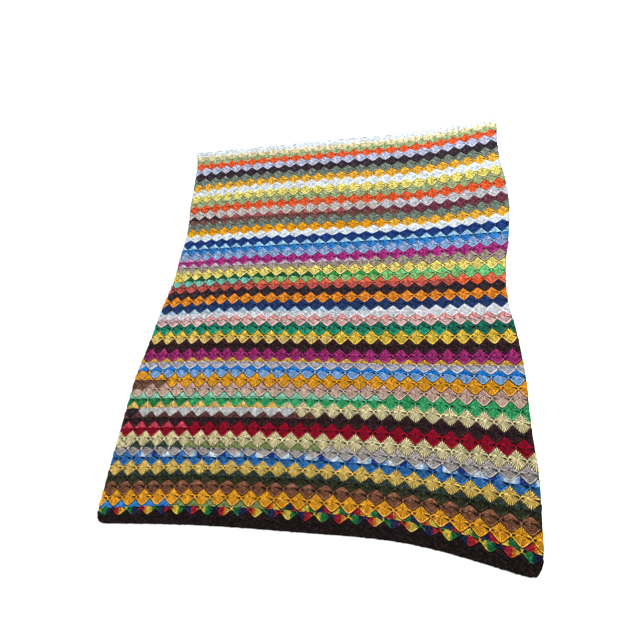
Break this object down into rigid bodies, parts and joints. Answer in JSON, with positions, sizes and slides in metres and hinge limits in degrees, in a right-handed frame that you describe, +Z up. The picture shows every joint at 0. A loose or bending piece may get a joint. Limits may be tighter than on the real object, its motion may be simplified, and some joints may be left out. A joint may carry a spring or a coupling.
{
  "type": "crochet blanket",
  "caption": "Crochet blanket of multicoloured striped wheel stitches, worked in one piece and lying flat, with plain slightly wavy edges.",
  "frame": {"origin": "under the middle of the blanket, on the surface that it lies on", "axes": "+X across the blanket along its rows, +Y up its length towards the first row, +Z up through its thickness"},
  "size_m": [1.2974, 1.5388, 0.005],
  "materials": {
    "yarn": "soft matt acrylic yarn in rows of many colours"
  },
  "bodies": {
    "root": {"blanket": "yarn"}
  },
  "joints": []
}
